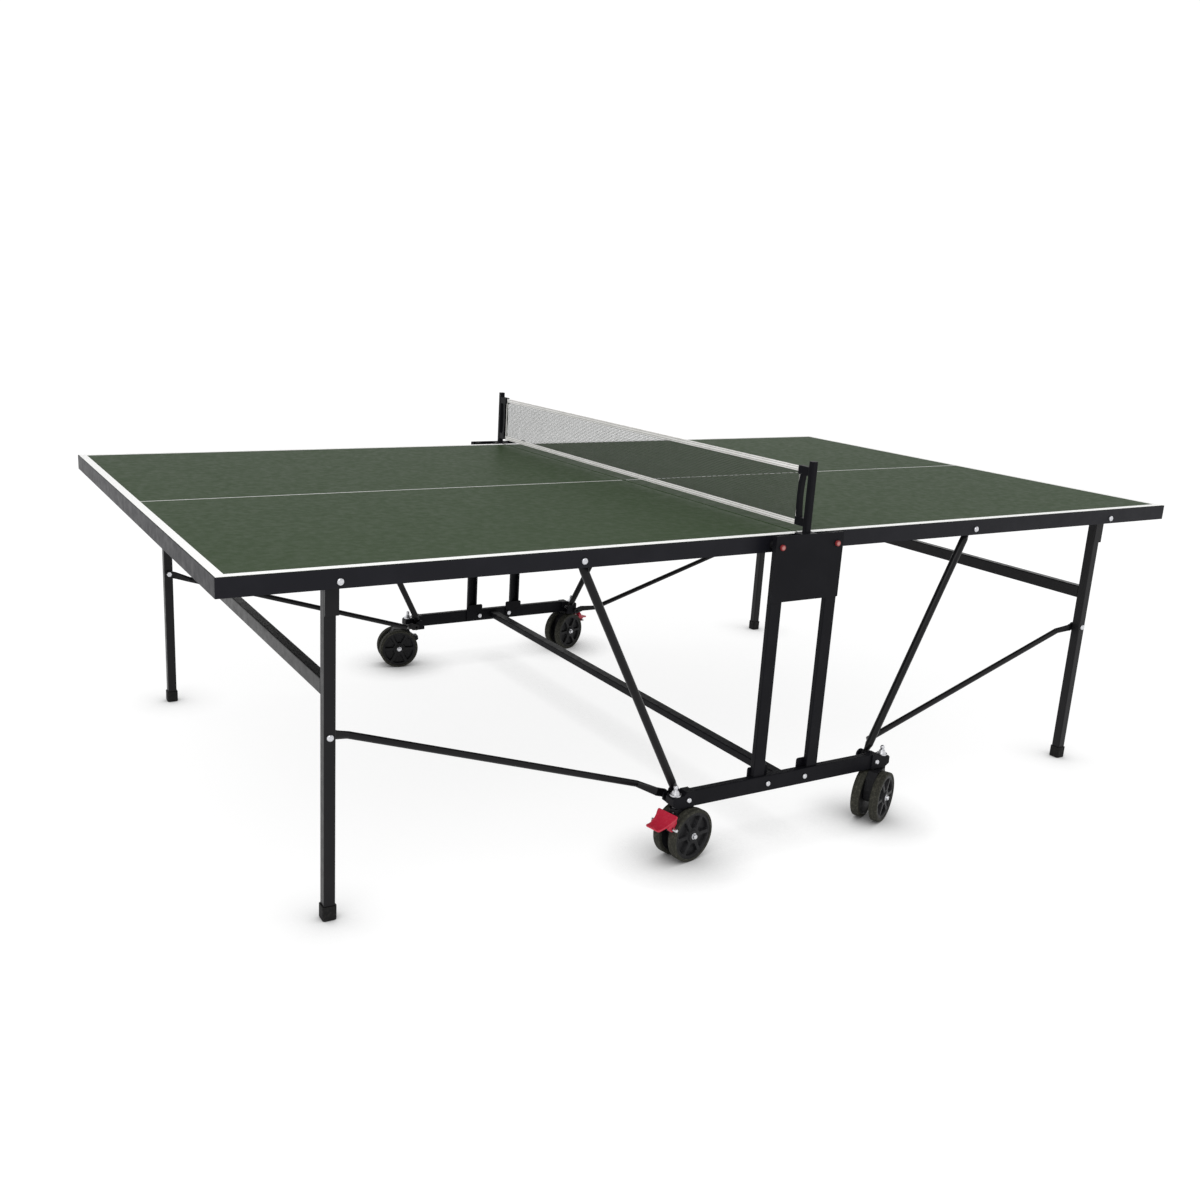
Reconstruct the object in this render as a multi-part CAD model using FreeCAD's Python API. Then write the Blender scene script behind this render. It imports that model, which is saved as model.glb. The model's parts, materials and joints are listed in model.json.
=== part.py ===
import FreeCAD, Part
import math
import os

# Folding table tennis table: two halves that fold up beside a wheeled centre chassis.
# Frame: origin on the floor under the middle of the net, +X along the table (right half),
# +Y across it (far side), +Z up, millimetres. The near right quarter is modelled first,
# and the other quarters are its mirror images.

V = FreeCAD.Vector

# --- driving dimensions -------------------------------------------------------------
TABLE_LENGTH = 2740.0
TABLE_WIDTH = 1525.0
PLAYING_HEIGHT = 760.0
BOARD_THICKNESS = 12.0
NET_GAP = 6.0              # between the two halves at the net
APRON_HEIGHT = 40.0
SHEET = 2.0                # steel sheet thickness
RIM_DROP = 0.8             # the apron's top edge lies this far below the playing surface
SEAT_WIDTH = 24.0          # strip that the board rests on

PIN_X = 83.5               # slider pin, on the centre line of its guide post
PIN_Z = 738.0
PIN_RADIUS = 5.0
RUNNING_FIT = 0.06         # radial clearance of every turning fit

LEG_PIVOT = (1133.0, 734.0)
LEG_X = 1140.0
LEG_Y = 714.0
LEG_TUBE = 25.0
LEG_WALL = 1.8
LEG_TOP = 712.0
CROSSBAR_Z = 507.0
CROSSBAR_HEIGHT = 34.0
LINK_ON_LEG_Z = 405.0
LUG_HEIGHT = 54.0          # of the pivot lug along the top of the leg
FOOT_SIZE = 31.0
FOOT_HEIGHT = 32.0
FOOT_SOLE = 12.0           # rubber below the end of the leg tube

STRUT_TOP = (592.0, 735.0)
STRUT_LOW = (298.0, 152.0)
STRUT_TOP_Y = 741.0        # struts and link rods lean across the table on their way down
STRUT_LOW_Y = 757.0
STRUT_RADIUS = 10.0
LINK_LOW = (317.5, 146.0)
LINK_LEG_Y = 684.0
LINK_LOW_Y = 696.0
LINK_RADIUS = 8.0
TAB_THICKNESS = 4.0        # flattened ends of struts and link rods
TAB_GAP = 0.6              # between a tab and the part beside it

PLATE_HALF_WIDTH = 102.0
PLATE_TOP = 765.0
PLATE_BOTTOM = 607.0
PLATE_Y = 798.0            # outer face of the side plate
POST_WIDTH = 34.0
POST_DEPTH = 14.0
POST_LIP = 7.0
SLIDER_HEIGHT = 50.0
SLIDER_PLAY = 0.5          # between the slider and the post's flanks and lips
BOSS_RADIUS = 9.0
BUTTON_RADIUS = 7.0
BUTTON_HOLE = BUTTON_RADIUS + 0.3
BUTTON_STANDS_OUT = 5.0
SLIDER_GAP = 1.5           # between the slider and the post's web, for the button's travel

RAIL_Y = 792.0
RAIL_WIDTH = 20.0
RAIL_HEIGHT = 40.0
RAIL_BOTTOM = 132.0
RAIL_HALF_LENGTH = 280.0
CROSS_MEMBER_WIDTH = 30.0
CROSS_MEMBER_HEIGHT = 20.0

STEM_X = 325.0
STEM_RADIUS = 6.0
BRACKET_TOP = 164.0
WHEEL_RADIUS = 65.0
WHEEL_WIDTH = 22.0
WHEEL_OUTER = 35.0         # outer face of a wheel from the caster's middle
CASTER_TRAIL = 35.0
AXLE_RADIUS = 5.0
CASTER_TURN = {"near_left": 11.0, "near_right": 206.0, "far_left": 169.0, "far_right": 199.0}
BRAKED_CASTERS = ("near_left", "far_right")

NET_TOP = 915.0
NET_BOTTOM = 776.0
NET_HALF_LENGTH = 742.0
NET_THICKNESS = 3.0
NET_POST_Y = 780.0
NET_POST_TOP = 931.0

# --- places worked out from them ----------------------------------------------------
HALF_WIDTH = TABLE_WIDTH / 2
END_X = TABLE_LENGTH / 2
INNER_X = NET_GAP / 2
BOARD_BOTTOM = PLAYING_HEIGHT - BOARD_THICKNESS
APRON_BOTTOM = PLAYING_HEIGHT - APRON_HEIGHT
WEB_IN = HALF_WIDTH - SHEET            # inner face of the apron's web
RAIL_IN = RAIL_Y - RAIL_WIDTH / 2
RAIL_OUT = RAIL_Y + RAIL_WIDTH / 2
RAIL_TOP = RAIL_BOTTOM + RAIL_HEIGHT
RAIL_MID_Z = RAIL_BOTTOM + RAIL_HEIGHT / 2
POST_OUT = PLATE_Y - SHEET
POST_IN = POST_OUT - POST_DEPTH
POST_X0 = PIN_X - POST_WIDTH / 2
POST_X1 = PIN_X + POST_WIDTH / 2


# --- shape helpers ------------------------------------------------------------------
def box(x0, x1, y0, y1, z0, z1):
    return Part.makeBox(x1 - x0, y1 - y0, z1 - z0, V(x0, y0, z0))


def rod_y(radius, x, z, y0, y1):
    return Part.makeCylinder(radius, y1 - y0, V(x, y0, z), V(0, 1, 0))


def rod_z(radius, x, y, z0, z1):
    return Part.makeCylinder(radius, z1 - z0, V(x, y, z0), V(0, 0, 1))


def fuse(*shapes):
    whole = shapes[0]
    for shape in shapes[1:]:
        whole = whole.fuse(shape)
    return whole.removeSplitter()


def edges_along(shape, axis):
    """The straight edges that run along a unit axis."""
    found = []
    for edge in shape.Edges:
        if len(edge.Vertexes) != 2:
            continue
        run = edge.Vertexes[1].Point - edge.Vertexes[0].Point
        if run.Length > 1e-6 and abs(abs(run.normalize().dot(axis)) - 1) < 1e-6:
            found.append(edge)
    return found


def round_along(shape, axis, radius):
    return shape.makeFillet(radius, edges_along(shape, axis))


def square_tube(shape, axis, wall, radius):
    """Hollow out a box along an axis and round its long edges."""
    b = shape.BoundBox
    inset = V(wall, wall, wall) - axis * wall
    low = V(b.XMin, b.YMin, b.ZMin) + inset
    size = V(b.XLength, b.YLength, b.ZLength) - inset * 2
    hole = Part.makeBox(size.x, size.y, size.z, low)
    return round_along(shape, axis, radius).cut(round_along(hole, axis, radius - wall / 2))


def profile_y(points, y0, y1):
    """A flat outline of (x, z) points, extruded from y0 to y1."""
    wire = Part.makePolygon([V(x, y0, z) for x, z in points + points[:1]])
    return Part.Face(wire).extrude(V(0, y1 - y0, 0))


def dome_head(x, y, z, radius, height):
    """Domed bolt head that stands out towards -Y from the plane at y."""
    head = rod_y(radius, x, z, y - height, y)
    crown = [edge for edge in head.Edges if abs(edge.BoundBox.YMax - (y - height)) < 1e-3]
    return head.makeFillet(height * 0.75, crown)


def hex_nut(x, y0, z, flats, thickness, bore):
    """Hexagon nut on an axis along Y, from y0 towards +Y."""
    corner = flats / math.sqrt(3)
    ring = [(x + corner * math.cos(math.radians(60 * i)), z + corner * math.sin(math.radians(60 * i)))
            for i in range(6)]
    return profile_y(ring, y0, y0 + thickness).cut(rod_y(bore, x, z, y0 - 1, y0 + thickness + 1))


def mirrored(shape, left, far):
    if left:
        shape = shape.mirror(V(0, 0, 0), V(1, 0, 0))
    if far:
        shape = shape.mirror(V(0, 0, 0), V(0, 1, 0))
    return shape


def save(name, *shapes):
    solids = [solid for shape in shapes for solid in shape.Solids]
    whole = solids[0] if len(solids) == 1 else Part.makeCompound(solids)
    for solid in solids:
        if not solid.isValid() or solid.Volume <= 0:
            print("check", name)
    whole.exportStep("parts/" + name + ".step")


# --- halves of the table top --------------------------------------------------------
BOLT_RADIUS = 4.0
BORE_RADIUS = BOLT_RADIUS + RUNNING_FIT
HEAD_RADIUS = 7.5
HEAD_HEIGHT = 5.0
NUT_FLATS = 13.0
NUT_THICKNESS = 6.0
LUG_THICKNESS = 5.0
LUG_RADIUS = 9.5
BUSH_RADIUS = 9.0
INNER_BAR = (8.0, 28.0)
STIFFENER_XS = (330.0, 1255.0)
STIFFENER_WIDTH = 30.0
STIFFENER_DEPTH = 20.0
PIN_DOUBLER = 3.0
DOUBLER_HALF = 26.0
BAR_WALL = 1.5
CORNER_RADIUS = 1.8


def board():
    plank = box(INNER_X, END_X - SHEET, -WEB_IN, WEB_IN, BOARD_BOTTOM, PLAYING_HEIGHT)
    return round_along(plank, V(0, 0, 1), 1.5)


def side_apron():
    """Upright web that covers the board's edge, with the seat strip under the board."""
    web = box(INNER_X, END_X, -HALF_WIDTH, -WEB_IN, APRON_BOTTOM, PLAYING_HEIGHT - RIM_DROP)
    seat = box(INNER_X, END_X - SHEET, -WEB_IN, -WEB_IN + SEAT_WIDTH, BOARD_BOTTOM - SHEET, BOARD_BOTTOM)
    doubler = box(PIN_X - DOUBLER_HALF, PIN_X + DOUBLER_HALF, -WEB_IN, -WEB_IN + PIN_DOUBLER,
                  APRON_BOTTOM + 1, BOARD_BOTTOM - SHEET)
    apron = fuse(web, seat, doubler)
    corner = [edge for edge in edges_along(apron, V(0, 0, 1))
              if edge.BoundBox.XMin > END_X - 1e-3 and edge.BoundBox.YMin < -HALF_WIDTH + 1e-3]
    apron = apron.makeFillet(CORNER_RADIUS, corner)
    apron = apron.cut(rod_y(PIN_RADIUS + RUNNING_FIT, PIN_X, PIN_Z, -HALF_WIDTH - 1, -WEB_IN + 5))
    for x, z in (STRUT_TOP, LEG_PIVOT):
        apron = apron.cut(rod_y(BOLT_RADIUS, x, z, -HALF_WIDTH - 1, -WEB_IN + 1))
    return apron


def end_apron():
    web = box(END_X - SHEET, END_X, -WEB_IN, WEB_IN, APRON_BOTTOM, PLAYING_HEIGHT - RIM_DROP)
    inner = WEB_IN - SEAT_WIDTH
    seat = box(END_X - SHEET - SEAT_WIDTH, END_X - SHEET, -inner, inner, BOARD_BOTTOM - SHEET, BOARD_BOTTOM)
    return fuse(web, seat)


def cross_bars():
    """Inner end bar and the stiffeners, all tubes across the table under the board."""
    spans = [INNER_BAR] + [(x - STIFFENER_WIDTH / 2, x + STIFFENER_WIDTH / 2) for x in STIFFENER_XS]
    reach = WEB_IN - SEAT_WIDTH
    bars = []
    for x0, x1 in spans:
        bar = box(x0, x1, -reach, reach, BOARD_BOTTOM - STIFFENER_DEPTH, BOARD_BOTTOM)
        bars.append(square_tube(bar, V(0, 1, 0), BAR_WALL, 2.0))
    return bars


def leg_pivot_bolt():
    """Bolt with the spacer bush that the leg's lug turns beside, and its nut."""
    x, z = LEG_PIVOT
    lug_out = -(LEG_Y + LEG_TUBE / 2 + LUG_THICKNESS)
    head = dome_head(x, -HALF_WIDTH, z, HEAD_RADIUS, HEAD_HEIGHT)
    shank = rod_y(BOLT_RADIUS, x, z, -HALF_WIDTH, lug_out + LUG_THICKNESS + 1 + NUT_THICKNESS)
    bush = rod_y(BUSH_RADIUS, x, z, -WEB_IN, lug_out - 0.5)
    nut = hex_nut(x, lug_out + LUG_THICKNESS + 0.5, z, NUT_FLATS, NUT_THICKNESS, BOLT_RADIUS - 0.5)
    return fuse(head, shank, bush, nut)


def strut_pivot_bolt():
    x, z = STRUT_TOP
    tab = TAB_THICKNESS / 2 + 0.5
    head = dome_head(x, -HALF_WIDTH, z, HEAD_RADIUS, HEAD_HEIGHT)
    shank = rod_y(BOLT_RADIUS, x, z, -HALF_WIDTH, -STRUT_TOP_Y + tab + NUT_THICKNESS)
    bush = rod_y(BUSH_RADIUS - 1, x, z, -WEB_IN, -STRUT_TOP_Y - tab)
    nut = hex_nut(x, -STRUT_TOP_Y + tab, z, NUT_FLATS, NUT_THICKNESS, BOLT_RADIUS - 0.5)
    return fuse(head, shank, bush, nut)


# --- folding legs, struts and link rods ---------------------------------------------
SOLE_ROUND = 3.0
STRUT_END = (14.0, 18.0)   # flat length from the pivot, and taper to the full round
LINK_END = (22.0, 34.0)

def leg():
    half = LEG_TUBE / 2
    tube = box(LEG_X - half, LEG_X + half, -LEG_Y - half, -LEG_Y + half, FOOT_SOLE, LEG_TOP)
    tube = square_tube(tube, V(0, 0, 1), LEG_WALL, 3.0)
    x, z = LEG_PIVOT
    y0 = -LEG_Y - half - LUG_THICKNESS
    y1 = -LEG_Y - half
    plate = box(x - LUG_RADIUS, LEG_X + half, y0, y1, LEG_TOP - LUG_HEIGHT, z - 8)
    neck = box(x - LUG_RADIUS, x + LUG_RADIUS, y0, y1, z - 14, z)
    eye = rod_y(LUG_RADIUS, x, z, y0, y1)
    part = fuse(tube, plate, neck, eye)
    part = part.cut(rod_y(BORE_RADIUS, x, z, y0 - 1, y1 + 1))
    return part.cut(rod_y(BOLT_RADIUS, LEG_X, LINK_ON_LEG_Z, y0 - 1, -LEG_Y + half + 1))


def leg_crossbar():
    half = LEG_TUBE / 2
    reach = LEG_Y - half
    z0 = CROSSBAR_Z - CROSSBAR_HEIGHT / 2
    bar = box(LEG_X - half, LEG_X + half, -reach, reach, z0, z0 + CROSSBAR_HEIGHT)
    return square_tube(bar, V(0, 1, 0), LEG_WALL, 3.0)


def foot():
    """Rubber ferrule that the leg tube stands in."""
    half = FOOT_SIZE / 2
    block = box(LEG_X - half, LEG_X + half, -LEG_Y - half, -LEG_Y + half, 0, FOOT_HEIGHT)
    block = round_along(block, V(0, 0, 1), 6.0)
    sole = [edge for edge in block.Edges if edge.BoundBox.ZMax < 1e-3]
    block = block.makeFillet(SOLE_ROUND, sole)
    seat = LEG_TUBE / 2
    socket = box(LEG_X - seat, LEG_X + seat, -LEG_Y - seat, -LEG_Y + seat, FOOT_SOLE, FOOT_HEIGHT + 1)
    return block.cut(round_along(socket, V(0, 0, 1), 3.0))


def link_bolt():
    """Bolt through the leg that carries the link rod's end on the leg's inner face."""
    outer = -LEG_Y - LEG_TUBE / 2
    inner = -LEG_Y + LEG_TUBE / 2
    tab = 1.0 + TAB_THICKNESS
    head = dome_head(LEG_X, outer, LINK_ON_LEG_Z, HEAD_RADIUS, HEAD_HEIGHT)
    shank = rod_y(BOLT_RADIUS, LEG_X, LINK_ON_LEG_Z, outer, inner + tab + NUT_THICKNESS)
    nut = hex_nut(LEG_X, inner + tab, LINK_ON_LEG_Z, NUT_FLATS, NUT_THICKNESS, BOLT_RADIUS - 0.5)
    return fuse(head, shank, nut)


def flattened_rod(start, end, radius, tab_half, tab_ys, run_ys, flat_end):
    """Tube from one (x, z) pivot to another, with pressed flat ends at their own Y."""
    run = V(end[0] - start[0], 0, end[1] - start[1])
    length = run.Length
    reach, taper = flat_end
    first = reach + taper
    last = length - first
    half = TAB_THICKNESS / 2

    def circle(distance, y):
        return Part.Wire(Part.Circle(V(distance, y, 0), V(1, 0, 0), radius).toShape())

    def oval(distance, y):
        flat = Part.Ellipse(V(distance, y, tab_half), V(distance, y + half, 0), V(distance, y, 0))
        return Part.Wire(flat.toShape())

    def tab(pivot, inward, y):
        x_in = pivot + inward * reach
        plate = box(min(pivot, x_in), max(pivot, x_in), y - half, y + half, -tab_half, tab_half)
        return plate.fuse(rod_y(tab_half, pivot, 0, y - half, y + half))

    near_taper = Part.makeLoft([oval(reach - 0.5, tab_ys[0]), circle(first, run_ys[0])], True)
    middle = Part.makeLoft([circle(first, run_ys[0]), circle(last, run_ys[1])], True)
    far_taper = Part.makeLoft([circle(last, run_ys[1]), oval(length - reach + 0.5, tab_ys[1])], True)
    rod = fuse(tab(0, 1, tab_ys[0]), near_taper, middle, far_taper, tab(length, -1, tab_ys[1]))
    for pivot, y in ((0, tab_ys[0]), (length, tab_ys[1])):
        rod = rod.cut(rod_y(BORE_RADIUS, pivot, 0, y - 10, y + 10))
    tilt = math.degrees(math.atan2(run.z, run.x))
    rod.rotate(V(0, 0, 0), V(0, -1, 0), tilt)
    rod.translate(V(start[0], 0, start[1]))
    return rod


def strut():
    ys = (-STRUT_LOW_Y, -STRUT_TOP_Y)
    return flattened_rod(STRUT_LOW, STRUT_TOP, STRUT_RADIUS, STRUT_RADIUS, ys, ys, STRUT_END)


def link_rod():
    on_leg = -(LEG_Y - LEG_TUBE / 2 - 0.5 - TAB_THICKNESS / 2)
    return flattened_rod(LINK_LOW, (LEG_X, LINK_ON_LEG_Z), LINK_RADIUS, LINK_TAB, (-LINK_EAR_Y, on_leg),
                         (-LINK_LOW_Y, -LINK_LEG_Y), LINK_END)


# --- chassis ------------------------------------------------------------------------
EAR_Y = 745.0              # middle of the ear that carries the lower pivots
EAR_THICKNESS = 5.0
EAR_LEFT_RADIUS = 14.0     # of its ends round the strut's and the link rod's pivot
EAR_RIGHT_RADIUS = 9.0
LINK_TAB = 10.0
LINK_EAR_Y = EAR_Y - EAR_THICKNESS / 2 - 5.0 - TAB_THICKNESS / 2 - TAB_GAP
LOW_PLATE = 4.0
BRACKET_IN = 776.0
BRACKET_OUT = 806.0
BRACKET_END = 340.0
BRACKET_BOTTOM = RAIL_BOTTOM + 2.0
PLUG_LENGTH = 36.0
PLUG_FIT = 0.25
FOOT_BOLT_X = 58.0
FOOT_PLATE = 4.0
END_BOLT_X = 296.0
FRAME_BOLT_RADIUS = 4.0


def rail():
    tube = box(-RAIL_HALF_LENGTH, RAIL_HALF_LENGTH, -RAIL_OUT, -RAIL_IN, RAIL_BOTTOM, RAIL_TOP)
    tube = square_tube(tube, V(1, 0, 0), SHEET, 3.0)
    for side in (-1, 1):
        x = side * FOOT_BOLT_X
        tube = tube.cut(rod_y(FRAME_BOLT_RADIUS, x, RAIL_MID_Z, -RAIL_OUT - 1, -RAIL_IN + 1))
    return tube


def cross_member():
    half = CROSS_MEMBER_WIDTH / 2
    z0 = RAIL_MID_Z - CROSS_MEMBER_HEIGHT / 2
    bar = box(-half, half, -RAIL_IN, RAIL_IN, z0, z0 + CROSS_MEMBER_HEIGHT)
    return square_tube(bar, V(0, 1, 0), SHEET, 3.0)


def side_plate():
    plate = box(-PLATE_HALF_WIDTH, PLATE_HALF_WIDTH, -PLATE_Y, -POST_OUT, PLATE_BOTTOM, PLATE_TOP)
    plate = round_along(plate, V(0, 1, 0), 2.0)
    for side in (-1, 1):
        plate = plate.cut(rod_y(BUTTON_HOLE, side * PIN_X, PIN_Z, -PLATE_Y - 1, -POST_OUT + 1))
    return plate


def guide_post():
    """Lipped channel that the slider runs in, open towards the table top."""
    outer = box(POST_X0, POST_X1, -POST_OUT, -POST_IN, RAIL_TOP, PLATE_TOP)
    outer = round_along(outer, V(0, 0, 1), 2.0)
    z0 = RAIL_TOP - 1
    z1 = PLATE_TOP + 1
    hollow = box(POST_X0 + SHEET, POST_X1 - SHEET, -POST_OUT + SHEET, -POST_IN - SHEET, z0, z1)
    mouth = box(POST_X0 + POST_LIP, POST_X1 - POST_LIP, -POST_IN - SHEET - 1, -POST_IN + 1, z0, z1)
    post = outer.cut(hollow).cut(mouth)
    return post.cut(rod_y(BUTTON_HOLE, PIN_X, PIN_Z, -POST_OUT - 1, -POST_OUT + SHEET + 1))


def foot_bracket():
    """Plate bolted to the inner face of the rail, which holds the foot of the guide post."""
    x0 = FOOT_BOLT_X - 11
    plate = box(x0, POST_X1 + 6, -POST_IN, -POST_IN + FOOT_PLATE, RAIL_BOTTOM + 4, RAIL_TOP + 20)
    plate = round_along(plate, V(0, 1, 0), 5.0)
    hole = rod_y(FRAME_BOLT_RADIUS, FOOT_BOLT_X, RAIL_MID_Z, -POST_IN - 1, -POST_IN + FOOT_PLATE + 1)
    return plate.cut(hole)


def pivot_ear():
    """Upright ear with a rounded end for each of the two lower pivots."""
    y0 = -EAR_Y - EAR_THICKNESS / 2
    y1 = -EAR_Y + EAR_THICKNESS / 2
    x0 = STRUT_LOW[0] - EAR_LEFT_RADIUS
    x1 = LINK_LOW[0] + EAR_RIGHT_RADIUS
    left_end = rod_y(EAR_LEFT_RADIUS, *STRUT_LOW, y0, y1)
    right_end = rod_y(EAR_RIGHT_RADIUS, *LINK_LOW, y0, y1)
    web = box(STRUT_LOW[0], LINK_LOW[0], y0, y1, BRACKET_BOTTOM, LINK_LOW[1] + EAR_RIGHT_RADIUS - 1)
    stand = box(x0, x1, y0, y1, BRACKET_BOTTOM, LINK_LOW[1])
    base = box(x0, x1, -BRACKET_IN, y1, BRACKET_BOTTOM, BRACKET_BOTTOM + LOW_PLATE)
    strut_stub = rod_y(STEM_RADIUS, *STRUT_LOW, -STRUT_LOW_Y + TAB_THICKNESS / 2 + TAB_GAP, y0)
    link_stub = rod_y(STEM_RADIUS, *LINK_LOW, y1, -LINK_EAR_Y - TAB_THICKNESS / 2 - TAB_GAP)
    return fuse(left_end, right_end, web, stand, base, strut_stub, link_stub)


def caster_bracket():
    """Plug in the rail's end, block for the caster's stem and ear for strut and link rod."""
    wall = SHEET + PLUG_FIT
    plug = box(RAIL_HALF_LENGTH - PLUG_LENGTH, RAIL_HALF_LENGTH, -RAIL_OUT + wall, -RAIL_IN - wall,
               RAIL_BOTTOM + wall, RAIL_TOP - wall)
    plug = round_along(plug, V(1, 0, 0), 2.5)
    outline = [(RAIL_HALF_LENGTH, BRACKET_BOTTOM), (BRACKET_END - 14, BRACKET_BOTTOM),
               (BRACKET_END, BRACKET_BOTTOM + 9), (BRACKET_END, BRACKET_TOP - 4),
               (BRACKET_END - 4, BRACKET_TOP), (STEM_X - 15, BRACKET_TOP), (STEM_X - 23, RAIL_TOP),
               (RAIL_HALF_LENGTH, RAIL_TOP)]
    block = profile_y(outline, -BRACKET_OUT, -BRACKET_IN)
    bracket = fuse(plug, block, pivot_ear())
    bracket = bracket.cut(rod_z(STEM_RADIUS, STEM_X, -RAIL_Y, RAIL_BOTTOM, BRACKET_TOP + 1))
    return bracket.cut(rod_y(FRAME_BOLT_RADIUS, END_BOLT_X, RAIL_MID_Z, -BRACKET_OUT - 1, -BRACKET_IN + 1))


def rail_bolt(x, outer, inner):
    """Through bolt with a domed head outside and a nut inside."""
    head = dome_head(x, -outer, RAIL_MID_Z, HEAD_RADIUS - 1, HEAD_HEIGHT - 1)
    shank = rod_y(FRAME_BOLT_RADIUS, x, RAIL_MID_Z, -outer, -inner + NUT_THICKNESS)
    nut = hex_nut(x, -inner, RAIL_MID_Z, NUT_FLATS, NUT_THICKNESS, FRAME_BOLT_RADIUS - 0.5)
    return fuse(head, shank, nut)


def caster_stem():
    """Threaded stem that the caster swivels on, with a flanged cap nut above."""
    x, y = STEM_X, -RAIL_Y
    stem = rod_z(STEM_RADIUS, x, y, 82, BRACKET_TOP + 8)
    flange = rod_z(13.5, x, y, BRACKET_TOP, BRACKET_TOP + 3.5)
    cone = Part.makeCone(10.5, 6.5, 9.0, V(x, y, BRACKET_TOP + 3.5), V(0, 0, 1))
    neck = rod_z(4.8, x, y, BRACKET_TOP + 8, BRACKET_TOP + 19)
    ball = Part.makeSphere(5.8, V(x, y, BRACKET_TOP + 19.4))
    return fuse(stem, flange, cone, neck, ball)


def slider():
    """Nylon block in the guide post, with the boss and pin that carry the table half."""
    half = POST_WIDTH / 2 - SHEET - SLIDER_PLAY
    y0 = -POST_OUT + SHEET + SLIDER_GAP
    y1 = -POST_IN - SHEET - SLIDER_PLAY
    z0 = PIN_Z - SLIDER_HEIGHT / 2
    block = box(PIN_X - half, PIN_X + half, y0, y1, z0, z0 + SLIDER_HEIGHT)
    block = round_along(block, V(0, 1, 0), 3.0)
    boss_end = -HALF_WIDTH - 0.7
    boss = rod_y(BOSS_RADIUS, PIN_X, PIN_Z, y1, boss_end)
    pin_end = -WEB_IN + PIN_DOUBLER + 0.6
    pin = rod_y(PIN_RADIUS, PIN_X, PIN_Z, boss_end, pin_end + NUT_THICKNESS)
    nut = hex_nut(PIN_X, pin_end, PIN_Z, NUT_FLATS, NUT_THICKNESS, PIN_RADIUS - 0.5)
    return fuse(block, boss, pin, nut)


def lock_button():
    """Push button of the latch, in the side plate and the guide post."""
    outer_end = -PLATE_Y - BUTTON_STANDS_OUT
    button = rod_y(BUTTON_RADIUS, PIN_X, PIN_Z, outer_end, -POST_OUT + 0.2)
    rim = [edge for edge in button.Edges if abs(edge.BoundBox.YMax - outer_end) < 1e-3]
    return button.makeFillet(1.5, rim)


# --- casters ------------------------------------------------------------------------
# A caster is modelled at the origin of its stem, trailing towards +X, then turned and placed.
HOUSING_HALF = 12.3
HOUSING_TOP = 130.5
AXLE_HEAD_RADIUS = 5.5
AXLE_HEAD_HEIGHT = 6.0
PEDAL_AXIS = (-30.0, 97.0)
PEDAL_PIN_RADIUS = 3.5
PEDAL_HALF = 34.0
PEDAL_TIP_X = -72.0
PEDAL_TOP_X = -20.0
PEDAL_TIP_Z = 102.0
PEDAL_TOP_Z = 128.0
PEDAL_SHEET = 5.0
WHEEL_ROOM = 2.5           # between wheel and pedal
WAIST_X = -62.0            # narrowest place of the pedal
WAIST_HALF = 21.5
WAIST_RADIUS = 75.0
TYRE_WALL = 8.0
DISH_DEPTH = 1.5
HUB_RADIUS = 15.0
POCKET_INNER = 22.0
POCKET_OUTER = WHEEL_RADIUS - 16.0
POCKET_DEPTH = 6.0
POCKET_COUNT = 6


def caster_housing(braked):
    """Swivelling body between the wheels, with a lug in front that carries the pedal's pin."""
    outline = [(-34.0, 104.0), (-22.0, 104.0), (-8.0, 115.0), (-2.0, HOUSING_TOP), (50.0, HOUSING_TOP),
               (66.0, 112.0), (72.0, 84.0), (66.0, 56.0), (48.0, 46.0), (24.0, 46.0), (4.0, 58.0),
               (-16.0, 80.0), (-36.0, 90.0)]
    body = profile_y(outline, -HOUSING_HALF, HOUSING_HALF)
    body = body.makeFillet(4.0, edges_along(body, V(0, 1, 0)))
    collar = rod_z(13.0, 0, 0, HOUSING_TOP - 4, BRACKET_BOTTOM - TAB_GAP)
    body = fuse(body, collar).cut(rod_z(STEM_RADIUS + RUNNING_FIT, 0, 0, 80, BRACKET_BOTTOM + 2))
    body = body.cut(rod_y(AXLE_RADIUS + RUNNING_FIT, CASTER_TRAIL, WHEEL_RADIUS, -30, 30))
    if braked:
        reach = WHEEL_OUTER + 3
        pin = rod_y(PEDAL_PIN_RADIUS, *PEDAL_AXIS, -reach, reach)
        body = body.fuse(pin).removeSplitter()
    return body


def wheel():
    """One wheel on the +Y side of a caster: rubber tread, six pockets and a hub."""
    x, z = CASTER_TRAIL, WHEEL_RADIUS
    tyre = rod_y(WHEEL_RADIUS, x, z, WHEEL_OUTER - WHEEL_WIDTH, WHEEL_OUTER)
    tyre = tyre.makeFillet(3.0, [edge for edge in tyre.Edges if edge.Length > 3 * WHEEL_RADIUS])
    dish = rod_y(WHEEL_RADIUS - TYRE_WALL, x, z, WHEEL_OUTER - DISH_DEPTH, WHEEL_OUTER + 1)
    hub = rod_y(HUB_RADIUS, x, z, WHEEL_OUTER - DISH_DEPTH - 0.5, WHEEL_OUTER + DISH_DEPTH)
    disc = fuse(tyre.cut(dish), hub).cut(rod_y(AXLE_RADIUS, x, z, 0, WHEEL_OUTER + 3))
    floor = WHEEL_OUTER - POCKET_DEPTH
    ring = rod_y(POCKET_OUTER, 0, 0, floor, WHEEL_OUTER + 2)
    ring = ring.cut(rod_y(POCKET_INNER, 0, 0, floor - 1, WHEEL_OUTER + 3))
    wedge = profile_y([(0.0, 0.0), (80.0, -26.0), (80.0, 26.0)], floor, WHEEL_OUTER + 2)
    pocket = ring.common(wedge)
    for i in range(POCKET_COUNT):
        cut = pocket.copy()
        cut.rotate(V(0, 0, 0), V(0, 1, 0), 360 / POCKET_COUNT * (i + 0.5))
        cut.translate(V(x, 0, z))
        disc = disc.cut(cut)
    return disc


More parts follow.
